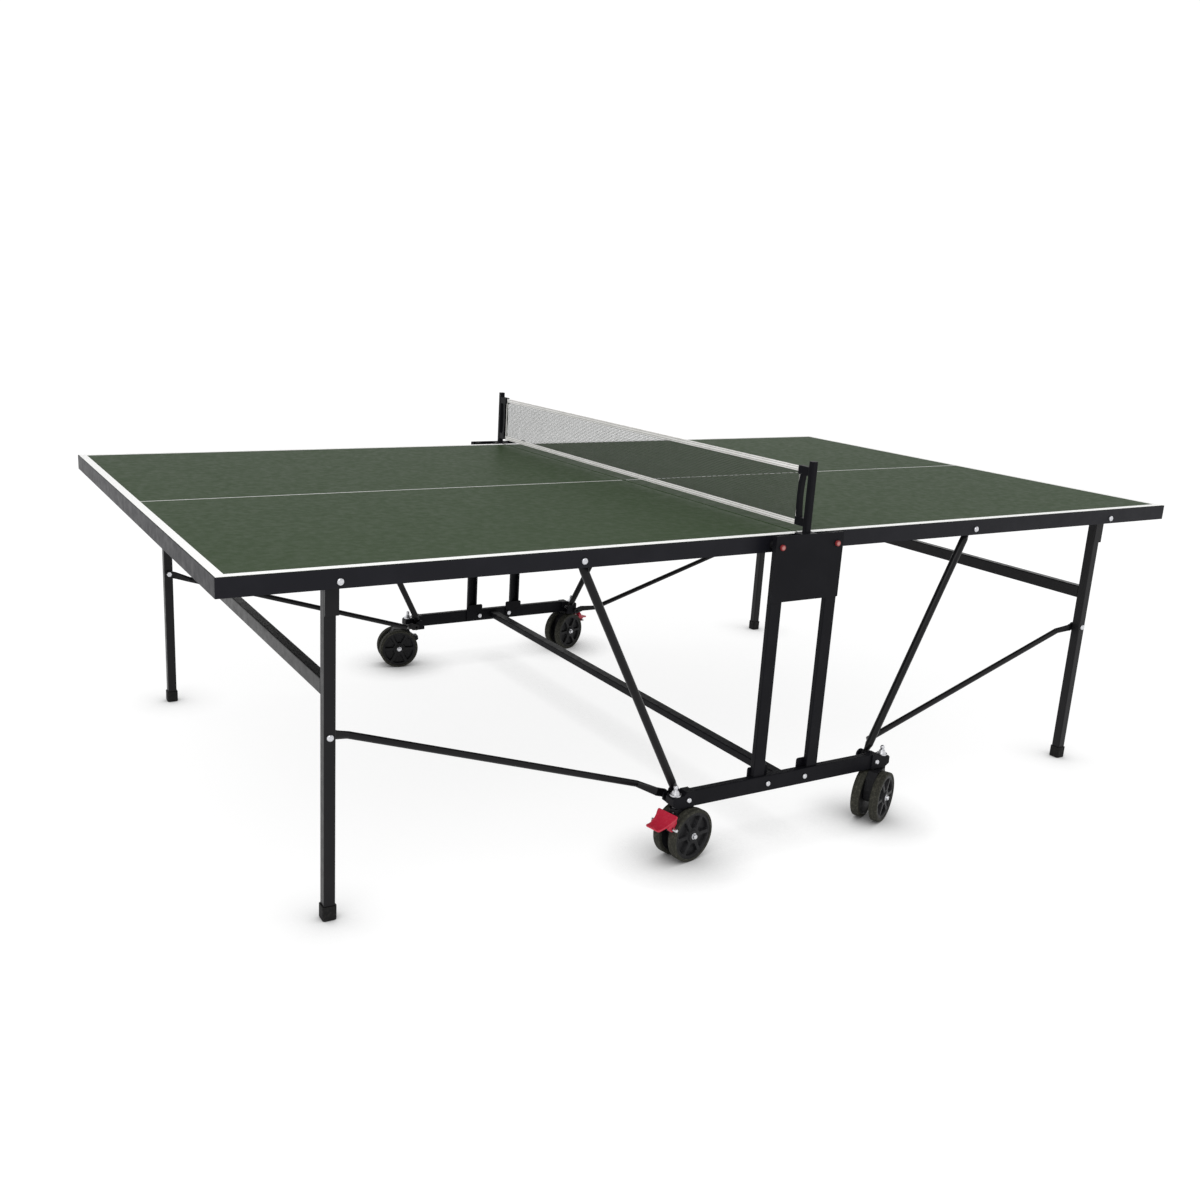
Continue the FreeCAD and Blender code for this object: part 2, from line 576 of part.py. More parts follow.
def wheel_pair():
    """Both wheels and the axle bolt that they are pressed on, which turns in the housing."""
    one = wheel()
    other = one.mirror(V(0, 0, 0), V(0, 1, 0))
    face = WHEEL_OUTER + DISH_DEPTH
    axle = rod_y(AXLE_RADIUS, CASTER_TRAIL, WHEEL_RADIUS, -face, face)
    near_head = dome_head(CASTER_TRAIL, -face, WHEEL_RADIUS, AXLE_HEAD_RADIUS, AXLE_HEAD_HEIGHT)
    far_head = near_head.mirror(V(0, 0, 0), V(0, 1, 0))
    return one, other, fuse(axle, near_head, far_head)


def brake_pedal():
    """Fish-tail pedal, curved like a ramp, that rocks on the pin through the caster's housing."""
    x, z = PEDAL_AXIS
    span = PEDAL_TOP_X - PEDAL_TIP_X
    climb = PEDAL_TOP_Z - PEDAL_TIP_Z
    ramp = [(PEDAL_TIP_X + span * i / 12, PEDAL_TIP_Z + climb * (i / 12) ** 2.4) for i in range(13)]
    under = [(px, pz - PEDAL_SHEET) for px, pz in ramp[1:8]]
    boss = [(x - 8, z - 4), (x, z - 8.5), (x + 8, z - 4), (x + 8, z + 8), (x + 11, z + 20),
            (x + 14, z + 29.5)]
    pedal = profile_y(ramp[::-1] + under + boss, -PEDAL_HALF, PEDAL_HALF)
    slot = HOUSING_HALF + 0.8
    pedal = pedal.cut(box(x - 9, x + 30, -slot, slot, z - 12, z + 10.5))
    reach = PEDAL_HALF + 6
    pedal = pedal.cut(rod_y(WHEEL_RADIUS + WHEEL_ROOM, CASTER_TRAIL, WHEEL_RADIUS, -reach, reach))
    for side in (-1, 1):
        pedal = pedal.cut(rod_z(WAIST_RADIUS, WAIST_X, side * (WAIST_RADIUS + WAIST_HALF), z - 20, z + 40))
    return pedal.cut(rod_y(PEDAL_PIN_RADIUS + RUNNING_FIT, x, z, -reach, reach))


def place_caster(shape, corner):
    shape = shape.copy()
    shape.rotate(V(0, 0, 0), V(0, 0, 1), CASTER_TURN[corner])
    side = -1 if corner.endswith("left") else 1
    row = -1 if corner.startswith("near") else 1
    shape.translate(V(side * STEM_X, row * RAIL_Y, 0))
    return shape


# --- net ----------------------------------------------------------------------------
NET_POST_HALF = 8.0
STRAP_HALF = 6.0
STRAP_OUTER = 757.0
STRAP_BOW = 6.0


def net_strap():
    """Bowed strip between the two blocks that hold the net."""
    low = NET_BOTTOM + 10
    high = NET_TOP - 10
    inner = STRAP_OUTER - 10
    middle = V(0, -STRAP_OUTER + STRAP_BOW, (low + high) / 2)
    bow = Part.Arc(V(0, -STRAP_OUTER, low), middle, V(0, -STRAP_OUTER, high))
    section = Part.makePolygon([V(-STRAP_HALF, -STRAP_OUTER, low), V(STRAP_HALF, -STRAP_OUTER, low),
                                V(STRAP_HALF, -inner, low), V(-STRAP_HALF, -inner, low),
                                V(-STRAP_HALF, -STRAP_OUTER, low)])
    return Part.Wire([bow.toShape()]).makePipeShell([section], True, False)


def net_post():
    """Post on the side plate, with the strap that pulls the net tight."""
    half = NET_POST_HALF
    post = box(-half, half, -NET_POST_Y - half, -NET_POST_Y + half, PLATE_TOP - 15, NET_POST_TOP)
    post = round_along(post, V(0, 0, 1), 4.0)
    foot_block = box(-24, 24, -POST_OUT, -HALF_WIDTH - 2.5, PLATE_TOP - 27, PLATE_TOP - 1)
    foot_block = round_along(foot_block, V(0, 0, 1), 3.0)
    inner = -NET_HALF_LENGTH - 1
    top_block = box(-7, 7, -NET_POST_Y, inner + 5, NET_TOP - 18, NET_TOP + 2)
    low_block = box(-7, 7, -NET_POST_Y, inner, NET_BOTTOM + 2, NET_BOTTOM + 21)
    return fuse(post, foot_block, top_block, low_block, net_strap()).cut(net())


def net():
    half = NET_THICKNESS / 2
    return box(-half, half, -NET_HALF_LENGTH, NET_HALF_LENGTH, NET_BOTTOM, NET_TOP)


# --- every piece, in its place ------------------------------------------------------
os.makedirs("parts", exist_ok=True)

for side, left in (("left", True), ("right", False)):
    save("board_" + side, mirrored(board(), left, False))
    save("apron_" + side + "_end", mirrored(end_apron(), left, False))
    save("cross_bars_" + side, *[mirrored(bar, left, False) for bar in cross_bars()])
    save("leg_crossbar_" + side, mirrored(leg_crossbar(), left, False))
    save("apron_bolts_" + side, *[mirrored(bolt, left, far) for far in (False, True)
                                  for bolt in (leg_pivot_bolt(), strut_pivot_bolt())])
    save("link_bolts_" + side, *[mirrored(link_bolt(), left, far) for far in (False, True)])
    save("feet_" + side, *[mirrored(foot(), left, far) for far in (False, True)])
    save("sliders_" + side, *[mirrored(slider(), left, far) for far in (False, True)])
    for row, far in (("near", False), ("far", True)):
        name = side + "_" + row
        save("apron_" + name, mirrored(side_apron(), left, far))
        save("leg_" + name, mirrored(leg(), left, far))
        save("strut_" + name, mirrored(strut(), left, far))
        save("link_rod_" + name, mirrored(link_rod(), left, far))
        save("lock_button_" + name, mirrored(lock_button(), left, far))

for row, far in (("near", False), ("far", True)):
    save("rail_" + row, mirrored(rail(), False, far))
    save("side_plate_" + row, mirrored(side_plate(), False, far))
    save("guide_posts_" + row, *[mirrored(guide_post(), left, far) for left in (False, True)])
    save("caster_brackets_" + row, *[mirrored(caster_bracket(), left, far) for left in (False, True)])
    save("net_post_" + row, mirrored(net_post(), False, far))

corners = [(left, far) for far in (False, True) for left in (False, True)]
save("foot_brackets", *[mirrored(foot_bracket(), left, far) for left, far in corners])
save("frame_bolts", *[mirrored(bolt, left, far) for left, far in corners
                      for bolt in (rail_bolt(FOOT_BOLT_X, RAIL_OUT, POST_IN - FOOT_PLATE),
                                   rail_bolt(END_BOLT_X, BRACKET_OUT, BRACKET_IN), caster_stem())])
save("cross_member", cross_member())
save("net", net())

for corner in CASTER_TURN:
    braked = corner in BRAKED_CASTERS
    save("caster_housing_" + corner, place_caster(caster_housing(braked), corner))
    save("caster_wheels_" + corner, *[place_caster(piece, corner) for piece in wheel_pair()])
    if braked:
        save("brake_pedal_" + corner, place_caster(brake_pedal(), corner))
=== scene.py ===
import json
import math
import random

import bmesh
import bpy
from mathutils import Matrix, Vector


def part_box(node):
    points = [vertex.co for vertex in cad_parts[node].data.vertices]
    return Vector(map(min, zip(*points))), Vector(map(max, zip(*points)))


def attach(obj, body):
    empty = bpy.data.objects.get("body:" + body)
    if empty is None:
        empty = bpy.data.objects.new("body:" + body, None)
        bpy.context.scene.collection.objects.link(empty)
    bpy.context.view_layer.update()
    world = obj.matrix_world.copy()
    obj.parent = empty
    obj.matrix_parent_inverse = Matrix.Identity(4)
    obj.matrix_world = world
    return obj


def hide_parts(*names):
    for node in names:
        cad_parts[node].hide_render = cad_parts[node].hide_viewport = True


# Looks of a folding table tennis table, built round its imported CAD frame. Metres, the
# frame's own axes: +X along the table, +Y across it to the far side, +Z up.

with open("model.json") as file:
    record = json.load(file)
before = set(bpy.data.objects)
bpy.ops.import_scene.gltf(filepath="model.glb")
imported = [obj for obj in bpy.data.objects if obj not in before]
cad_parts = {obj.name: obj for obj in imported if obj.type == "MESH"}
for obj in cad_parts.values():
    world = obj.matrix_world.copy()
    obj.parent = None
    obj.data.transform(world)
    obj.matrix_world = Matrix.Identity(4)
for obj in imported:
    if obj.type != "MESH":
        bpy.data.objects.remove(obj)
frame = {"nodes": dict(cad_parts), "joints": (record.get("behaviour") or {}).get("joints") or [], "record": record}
nodes = frame["nodes"]
joints = {joint["name"]: joint for joint in frame["joints"]}
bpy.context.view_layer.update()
random.seed(7)

MM = 0.001
HALVES = {"left": -1, "right": 1}
CORNERS = ("near_left", "near_right", "far_left", "far_right")
BRAKED = ("near_left", "far_right")


# --- camera -------------------------------------------------------------------------
CAMERA_PLACE = Vector((-1.892, -2.853, 1.3005))
CAMERA_AIM = Vector((0.0, 0.453, 0.2862))
CAMERA_ROLL = math.radians(2.78)
CAMERA_LENS = 35.84        # for a sensor 36 mm wide
CAMERA_SHIFT = 0.05


def make_camera():
    """A little above the table, off its near left corner."""
    data = bpy.data.cameras.new("camera")
    data.sensor_width = 36.0
    data.lens = CAMERA_LENS
    data.shift_x = CAMERA_SHIFT
    data.clip_start = 0.05
    camera = bpy.data.objects.new("camera", data)
    bpy.context.scene.collection.objects.link(camera)
    turn = (CAMERA_AIM - CAMERA_PLACE).to_track_quat("-Z", "Y").to_matrix().to_4x4()
    roll = Matrix.Rotation(CAMERA_ROLL, 4, "Z")
    camera.matrix_world = Matrix.Translation(CAMERA_PLACE) @ turn @ roll
    bpy.context.scene.camera = camera


# --- materials ----------------------------------------------------------------------
def map_range(nodes, links, value, low, high, to_low, to_high):
    """Node that maps low..high to to_low..to_high, clamped at both ends."""
    node = nodes.new("ShaderNodeMapRange")
    links.new(value, node.inputs["Value"])
    limits = {"From Min": low, "From Max": high, "To Min": to_low, "To Max": to_high}
    for name, number in limits.items():
        node.inputs[name].default_value = number
    return node.outputs["Result"]


FLAT, SHARP = 0.995, 0.80   # how far a rounded normal leans from the face, as a cosine


class Shader:
    """One node material, with short calls for the nodes that these materials share."""

    def __init__(self, name, **sockets):
        self.material = bpy.data.materials.new(name)
        self.material.use_nodes = True
        self.nodes = self.material.node_tree.nodes
        self.links = self.material.node_tree.links
        self.bsdf = self.nodes["Principled BSDF"]
        for socket, value in sockets.items():
            self.bsdf.inputs[socket.replace("_", " ")].default_value = value
        self.place = self.nodes.new("ShaderNodeTexCoord").outputs["Object"]
        self.normal = None

    def noise(self, scale, detail=2.0, rough=0.5):
        """Cloudy or grainy pattern, 0 to 1."""
        node = self.nodes.new("ShaderNodeTexNoise")
        node.inputs["Scale"].default_value = scale
        node.inputs["Detail"].default_value = detail
        node.inputs["Roughness"].default_value = rough
        self.links.new(self.place, node.inputs["Vector"])
        return node.outputs["Fac"]

    def wave(self, scale, axis):
        """Straight bands across one axis, 0 to 1."""
        node = self.nodes.new("ShaderNodeTexWave")
        node.bands_direction = axis
        node.inputs["Scale"].default_value = scale
        self.links.new(self.place, node.inputs["Vector"])
        return node.outputs["Fac"]

    def remap(self, value, low, high, to_low=0.0, to_high=1.0):
        """Value stretched from low..high to a new range."""
        return map_range(self.nodes, self.links, value, low, high, to_low, to_high)

    def combine(self, operation, a, b):
        """One step of arithmetic; a and b are sockets or numbers."""
        node = self.nodes.new("ShaderNodeMath")
        node.operation = operation
        for slot, value in enumerate((a, b)):
            if isinstance(value, (int, float)):
                node.inputs[slot].default_value = value
            else:
                self.links.new(value, node.inputs[slot])
        return node.outputs["Value"]

    def mix(self, factor, a, b):
        """Blend of two colours, each a socket or a tuple."""
        node = self.nodes.new("ShaderNodeMix")
        node.data_type = "RGBA"
        self.links.new(factor, node.inputs["Factor"])
        for name, colour in (("A", a), ("B", b)):
            socket = next(s for s in node.inputs if s.name == name and s.type == "RGBA")
            if isinstance(colour, tuple):
                socket.default_value = (*colour, 1.0)
            else:
                self.links.new(colour, socket)
        return next(s for s in node.outputs if s.type == "RGBA")

    def bump(self, height, strength, distance):
        """Relief added to the normal so far."""
        node = self.nodes.new("ShaderNodeBump")
        node.inputs["Strength"].default_value = strength
        node.inputs["Distance"].default_value = distance
        self.links.new(height, node.inputs["Height"])
        if self.normal is not None:
            self.links.new(self.normal, node.inputs["Normal"])
        self.normal = node.outputs["Normal"]

    def soft_edges(self, radius):
        """Rounds the look of sharp edges, and gives a mask of where they are."""
        bevel = self.nodes.new("ShaderNodeBevel")
        bevel.samples = 6
        bevel.inputs["Radius"].default_value = radius
        geometry = self.nodes.new("ShaderNodeNewGeometry")
        dot = self.nodes.new("ShaderNodeVectorMath")
        dot.operation = "DOT_PRODUCT"
        self.links.new(bevel.outputs["Normal"], dot.inputs[0])
        self.links.new(geometry.outputs["Normal"], dot.inputs[1])
        self.normal = bevel.outputs["Normal"]
        return self.remap(dot.outputs["Value"], FLAT, SHARP)

    def done(self, colour, roughness):
        """Connects the colour, roughness and normal, and gives the material."""
        self.links.new(colour, self.bsdf.inputs["Base Color"])
        self.links.new(roughness, self.bsdf.inputs["Roughness"])
        if self.normal is not None:
            self.links.new(self.normal, self.bsdf.inputs["Normal"])
        return self.material


def board_lacquer():
    """Dark green lacquer on chipboard: fine speckle, faint cloudiness, satin; grey primer below."""
    s = Shader("board_lacquer", Specular_IOR_Level=0.03)
    speckle = s.remap(s.noise(520.0, 3.0, 0.7), 0.3, 0.7)
    cloud = s.remap(s.noise(2.2, 4.0, 0.6), 0.35, 0.65)
    fine = s.mix(speckle, (0.026, 0.046, 0.018), (0.042, 0.066, 0.032))
    green = s.mix(s.combine("MULTIPLY", cloud, 0.15), fine, (0.030, 0.050, 0.022))
    facing = s.nodes.new("ShaderNodeSeparateXYZ")
    s.links.new(s.nodes.new("ShaderNodeTexCoord").outputs["Normal"], facing.inputs["Vector"])
    patches = s.remap(s.noise(30.0, 5.0, 0.7), 0.4, 0.7)
    primer = s.mix(patches, (0.030, 0.031, 0.029), (0.045, 0.046, 0.042))
    colour = s.mix(s.remap(facing.outputs["Z"], -0.3, -0.6), green, primer)
    s.bump(s.noise(700.0, 2.0, 0.6), 0.05, 0.0004)
    return s.done(colour, s.remap(s.noise(60.0, 3.0), 0.3, 0.7, 0.44, 0.56))


def line_paint():
    """White paint of the lines, slightly worn."""
    s = Shader("line_paint", Specular_IOR_Level=0.2)
    mottled_tone = s.remap(s.noise(220.0, 5.0, 0.7), 0.62, 0.78)
    colour = s.mix(mottled_tone, (0.88, 0.88, 0.87), (0.76, 0.77, 0.74))
    s.bump(s.noise(900.0, 2.0, 0.6), 0.1, 0.0003)
    return s.done(colour, s.remap(s.noise(80.0), 0.3, 0.7, 0.42, 0.55))


def powder_coat(name, base, roughness, gloss=0.08, orange_peel=650.0):
    """Black satin powder coat: orange peel, dust, and slightly rubbed edges."""
    s = Shader(name, Specular_IOR_Level=gloss)
    edges = s.soft_edges(0.9 * MM)
    patchy = s.remap(s.noise(90.0, 5.0, 0.65), 0.48, 0.68)
    dust = s.remap(s.noise(14.0, 4.0, 0.6), 0.45, 0.8, 0.0, 0.35)
    lighter = tuple(0.004 + 1.5 * c for c in base)
    rubbed = tuple(0.014 + 2.2 * c for c in base)
    dusty = s.mix(dust, base, lighter)
    colour = s.mix(s.combine("MULTIPLY", edges, patchy), dusty, rubbed)
    s.bump(s.noise(orange_peel, 2.0, 0.5), 0.16, 0.0006)
    return s.done(colour, s.remap(s.noise(45.0, 3.0), 0.3, 0.7, roughness - 0.05, roughness + 0.06))


def zinc():
    """Zinc-plated steel of the fasteners, with a painted highlight along its sharp edges."""
    s = Shader("zinc", Metallic=1.0)
    edges = s.soft_edges(0.5 * MM)
    stain = s.remap(s.noise(500.0, 4.0, 0.6), 0.4, 0.7)
    colour = s.mix(stain, (0.66, 0.66, 0.68), (0.44, 0.45, 0.48))
    # painted highlight: the sharp edges are paler
    colour = s.mix(edges, colour, (0.82, 0.82, 0.84))
    s.bump(s.noise(2500.0, 2.0, 0.5), 0.15, 0.0002)
    return s.done(colour, s.remap(s.noise(700.0, 3.0), 0.3, 0.7, 0.22, 0.38))


def moulded(name, base, scuff_and_highlight, roughness, grain=1600.0, edge=0.8, gloss=0.16):
    """Moulded plastic or rubber with a fine spark-eroded grain, scuffs, and a painted highlight along its edges.
    """
    s = Shader(name, Specular_IOR_Level=gloss)
    edges = s.soft_edges(edge * MM)
    scuffs = s.remap(s.noise(160.0, 6.0, 0.7), 0.5, 0.72)
    scuffed = tuple(0.55 * a + 0.45 * b for a, b in zip(scuff_and_highlight, base))
    colour = s.mix(scuffs, base, scuffed)
    # painted highlight: every edge is drawn partway towards the paler colour, which also tints the scuffs
    colour = s.mix(s.combine("MULTIPLY", edges, 0.6), colour, scuff_and_highlight)
    s.bump(s.noise(grain, 2.0, 0.6), 0.22, 0.0003)
    return s.done(colour, s.remap(s.noise(120.0, 4.0), 0.3, 0.7, roughness - 0.07, roughness + 0.08))


def woven_tape():
    """White woven tape of the net's bands."""
    s = Shader("woven_tape", Sheen_Weight=0.25)
    weave = s.combine("MULTIPLY", s.wave(420.0, "Y"), s.wave(420.0, "Z"))
    soil = s.remap(s.noise(25.0, 5.0, 0.7), 0.45, 0.75)
    colour = s.mix(soil, (0.86, 0.845, 0.825), (0.74, 0.72, 0.69))
    s.bump(weave, 0.5, 0.0003)
    return s.done(colour, s.remap(s.noise(300.0), 0.3, 0.7, 0.75, 0.9))


def net_thread(name, base, light):
    """Twisted thread, for the mesh and for the seams."""
    s = Shader(name, Sheen_Weight=0.15)
    twist = s.noise(1800.0, 2.0, 0.6)
    colour = s.mix(s.remap(twist, 0.35, 0.65), base, light)
    s.bump(twist, 0.4, 0.0002)
    return s.done(colour, s.remap(s.noise(400.0), 0.3, 0.7, 0.7, 0.85))


BUTTON_RING = 5.6 * MM     # where the ring starts to pale, and where the middle is reached
BUTTON_MIDDLE = 3.4 * MM


def button_plastic():
    """Dull red push button: a darker ring round a paler middle, which is a painted highlight."""
    s = Shader("button_red", Specular_IOR_Level=0.3)
    pin = joints["fold_right"]["pos_m"]
    where = s.nodes.new("ShaderNodeSeparateXYZ")
    s.links.new(s.place, where.inputs["Vector"])
    along = s.combine("SUBTRACT", s.combine("ABSOLUTE", where.outputs["X"], 0.0), abs(pin[0]))
    up = s.combine("SUBTRACT", where.outputs["Z"], pin[2])
    squares = s.combine("ADD", s.combine("MULTIPLY", along, along), s.combine("MULTIPLY", up, up))
    middle = s.remap(s.combine("SQRT", squares, 0.0), BUTTON_RING, BUTTON_MIDDLE)
    patches = s.remap(s.noise(900.0, 4.0, 0.7), 0.4, 0.65)
    mottled_tone = s.mix(patches, (0.34, 0.13, 0.12), (0.42, 0.21, 0.19))
    # painted highlight: the middle is paler than the ring round it
    colour = s.mix(middle, (0.19, 0.016, 0.018), mottled_tone)
    s.bump(s.noise(1500.0, 2.0, 0.6), 0.2, 0.0003)
    return s.done(colour, s.remap(s.noise(120.0, 4.0), 0.3, 0.7, 0.42, 0.56))


LOOKS = {
    "board_lacquer": board_lacquer(),
    "apron_lacquer": powder_coat("apron_lacquer", (0.0060, 0.0060, 0.0088), 0.42, 0.13),
    "frame_lacquer": powder_coat("frame_lacquer", (0.0042, 0.0042, 0.0058), 0.46),
    "tube_lacquer": powder_coat("tube_lacquer", (0.0045, 0.0042, 0.0050), 0.34, 0.18),
    "zinc": zinc(),
    "black_nylon": moulded("black_nylon", (0.006, 0.006, 0.007), (0.022, 0.022, 0.026), 0.5),
    "foot_rubber": moulded("foot_rubber", (0.006, 0.006, 0.006), (0.030, 0.028, 0.025), 0.7, 900.0, 1.5),
    "wheel_plastic": moulded("wheel_plastic", (0.0065, 0.0065, 0.0075), (0.026, 0.026, 0.027), 0.48),
    "pedal_red": moulded("pedal_red", (0.42, 0.011, 0.035), (0.52, 0.06, 0.085), 0.40, gloss=0.4),
    "button_red": button_plastic(),
}
LINE_PAINT = line_paint()
TYRE = moulded("tyre_rubber", (0.021, 0.021, 0.016), (0.105, 0.100, 0.078), 0.72, 900.0, 1.3)
TAPE = woven_tape()
THREAD = net_thread("net_thread", (0.026, 0.032, 0.024), (0.048, 0.054, 0.042))
STITCH = net_thread("stitch_thread", (0.21, 0.205, 0.20), (0.30, 0.29, 0.28))


def dress_frame():
    """Gives every CAD node the material of its record slot."""
    slots = {part["node"]: part["material_slot"] for part in frame["record"]["subparts"]}
    for name, node in nodes.items():
        look = LOOKS.get(slots[name], THREAD)
        node.data.materials.clear()
        node.data.materials.append(look)


# --- mesh helpers -------------------------------------------------------------------
def add_piece(name, mesh, body, materials, smooth_angle=40.0):
    """Puts a finished bmesh in the scene as a piece that rides on a body."""
    bmesh.ops.recalc_face_normals(mesh, faces=mesh.faces)
    data = bpy.data.meshes.new(name)
    mesh.to_mesh(data)
    mesh.free()
    for material in materials:
        data.materials.append(material)
    data.polygons.foreach_set("use_smooth", [True] * len(data.polygons))
    data.set_sharp_from_angle(angle=math.radians(smooth_angle))
    piece = bpy.data.objects.new(name, data)
    bpy.context.scene.collection.objects.link(piece)
    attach(piece, body)
    return piece


def add_box(mesh, low, high):
    """Closed box between two opposite corners."""
    corners = [mesh.verts.new((x, y, z)) for x in (low[0], high[0]) for y in (low[1], high[1])
               for z in (low[2], high[2])]
    quads = ((0, 1, 3, 2), (4, 6, 7, 5), (0, 4, 5, 1), (2, 3, 7, 6), (0, 2, 6, 4), (1, 5, 7, 3))
    for quad in quads:
        mesh.faces.new([corners[i] for i in quad])


def join_rings(mesh, ring, following):
    """Quads between two rings with the same number of points."""
    count = len(ring)
    for i in range(count):
        j = (i + 1) % count
        mesh.faces.new((ring[i], ring[j], following[j], following[i]))


def around(radius, i, count):
    """Point i of count on a circle about the local Z axis."""
    angle = 2 * math.pi * i / count
    return Vector((radius * math.cos(angle), radius * math.sin(angle), 0))


def add_tube(mesh, start, end, radius, sides=6):
    """Closed straight thread between two points."""
    start, end = Vector(start), Vector(end)
    turn = (end - start).to_track_quat("Z", "Y").to_matrix()
    rings = [[mesh.verts.new(centre + turn @ around(radius, i, sides)) for i in range(sides)]
             for centre in (start, end)]
    mesh.faces.new(list(reversed(rings[0])))
    mesh.faces.new(rings[1])
    join_rings(mesh, *rings)


def add_lathe(mesh, profile, segments, place, dent=None, index_of=None):
    """Turns (radius, height) points about the local Z axis, from one pole to the other.

    dent(radius, height, angle) gives a height to take away; index_of(radius) a material.
    """
    rings = []
    for radius, height in profile:
        if radius == 0:
            rings.append([mesh.verts.new(place @ Vector((0, 0, height)))])
            continue
        ring = []
        for i in range(segments):
            drop = dent(radius, height, 2 * math.pi * i / segments) if dent else 0.0
            point = around(radius, i, segments) + Vector((0, 0, height - drop))
            ring.append(mesh.verts.new(place @ point))
        rings.append(ring)
    for step, (ring, following) in enumerate(zip(rings[:-1], rings[1:])):
        radius = (profile[step][0] + profile[step + 1][0]) / 2
        for i in range(segments):
            j = (i + 1) % segments
            corners = [ring[i % len(ring)], ring[j % len(ring)], following[j % len(following)],
                       following[i % len(following)]]
            face = mesh.faces.new(list(dict.fromkeys(corners)))
            face.material_index = index_of(radius) if index_of else 0


def arc_points(centre, radius, start, end, steps):
    """Points of an arc in (radius, height) terms, angles in degrees."""
    angles = [math.radians(start + (end - start) * i / steps) for i in range(steps + 1)]
    return [(centre[0] + radius * math.cos(a), centre[1] + radius * math.sin(a)) for a in angles]


def clamp(value):
    """Value held between 0 and 1."""
    return min(max(value, 0.0), 1.0)


def smoothstep(low, high, value):
    """Soft step from 0 at low to 1 at high."""
    t = clamp((value - low) / (high - low))
    return t * t * (3 - 2 * t)


# --- lines on the playing surface ---------------------------------------------------
LINE_WIDTH = 20 * MM
CENTRE_LINE_WIDTH = 3 * MM
PAINT = 0.15 * MM          # how far the paint stands above the board, and reaches into it
NET_GAP = 4 * MM           # between the centre line and the inner edge of the board


def playing_lines(side, sign):
    """White side, end and centre lines of one half, as one film of paint."""
    low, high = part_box("board_" + side)
    top = high.z
    inner, outer = sorted((low.x, high.x), key=abs)
    edge = high.y
    mesh = bmesh.new()

    def strip(x0, x1, y0, y1):
        """One straight line, given by its edges in any order."""
        xs, ys = sorted((x0, x1)), sorted((y0, y1))
        add_box(mesh, (xs[0], ys[0], top - PAINT), (xs[1], ys[1], top + PAINT))

    end_inside = outer - sign * LINE_WIDTH
    strip(end_inside, outer, -edge, edge)
    for row in (-1, 1):
        strip(inner, end_inside, row * edge, row * (edge - LINE_WIDTH))
    strip(inner + sign * NET_GAP, end_inside, -CENTRE_LINE_WIDTH / 2, CENTRE_LINE_WIDTH / 2)
    add_piece("lines_" + side, mesh, "half_" + side, [LINE_PAINT])


# --- net ----------------------------------------------------------------------------
MESH_PITCH = 4.2 * MM
THREAD_RADIUS = 0.5 * MM
THREAD_OFFSET = 0.35 * MM  # of each set of threads, to its own side of the net
THREAD_LEAN = 0.5 * MM
THREAD_SAG = 0.4 * MM
KNOT = 0.95 * MM
BAND_HEIGHT = 12.5 * MM
SIDE_BAND = 5 * MM
BAND_THICKNESS = 2.4 * MM
BAND_STEP = 12 * MM
BAND_GROOVE = 0.47         # height of the two stitched grooves, as a part of half the band
STITCH_PITCH = 4.5 * MM
STITCH_RADIUS = 0.5 * MM
STITCH_REACH = 0.44        # half a stitch, as a part of the pitch
STITCH_PLACE = 0.44        # from the band's middle plane, as a part of its thickness
PUCKER = 0.05              # how much the band's thickness waves, and varies at random
PUCKER_TURN = 2.1
PUCKER_NOISE = 0.03


def add_knot(mesh, centre):
    """Octahedron that stands for one knot."""
    tips = [mesh.verts.new(centre + Vector(tip) * KNOT) for tip in
            ((1, 0, 0), (-1, 0, 0), (0, 1, 0), (0, -1, 0), (0, 0, 1), (0, 0, -1))]
    belt, poles = ((0, 2), (2, 1), (1, 3), (3, 0)), (4, 5)
    for pole in poles:
        for a, b in belt:
            mesh.faces.new((tips[a], tips[b], tips[pole]))


def net_mesh(low, high):
    """Knotted mesh: upright and level threads that cross side by side, with knots."""
    mesh = bmesh.new()
    columns = round((high.y - low.y) / MESH_PITCH)
    rows = round((high.z - low.z) / MESH_PITCH)
    ys = [low.y + (high.y - low.y) * (i + 0.5) / columns for i in range(columns)]
    zs = [low.z + (high.z - low.z) * (i + 0.5) / rows for i in range(rows)]
    for y in ys:
        lean = random.uniform(-1, 1) * THREAD_LEAN
        add_tube(mesh, (-THREAD_OFFSET, y - lean, low.z), (-THREAD_OFFSET, y + lean, high.z),
                 THREAD_RADIUS)
    for z in zs:
        sag = random.uniform(-1, 1) * THREAD_SAG
        middle = (THREAD_OFFSET, 0, z + sag)
        add_tube(mesh, (THREAD_OFFSET, low.y, z), middle, THREAD_RADIUS)
        add_tube(mesh, middle, (THREAD_OFFSET, high.y, z), THREAD_RADIUS)
    for y in ys:
        for z in zs:
            add_knot(mesh, Vector((0, y, z)))
    return mesh


def band_section(height, thickness):
    """Half outline of a folded tape with its cord, as (across, up) points."""
    half, top = thickness / 2, height / 2
    groove = BAND_GROOVE
    rows = ((0.0, 1.0), (0.7, 0.97), (1.0, 0.82), (0.94, 0.55), (0.80, groove), (0.90, 0.38), (0.92, 0.0),
            (0.90, -0.38), (0.80, -groove), (0.88, -0.56), (0.85, -0.86), (0.6, -0.98), (0.0, -1.0))
    return [(half * a, top * b) for a, b in rows]


def along_band(start, end, upward):
    """Ends, run, across and upward directions of a band."""
    start, end, upward = Vector(start), Vector(end), Vector(upward)
    run = (end - start).normalized()
    return start, end, run, run.cross(upward), upward


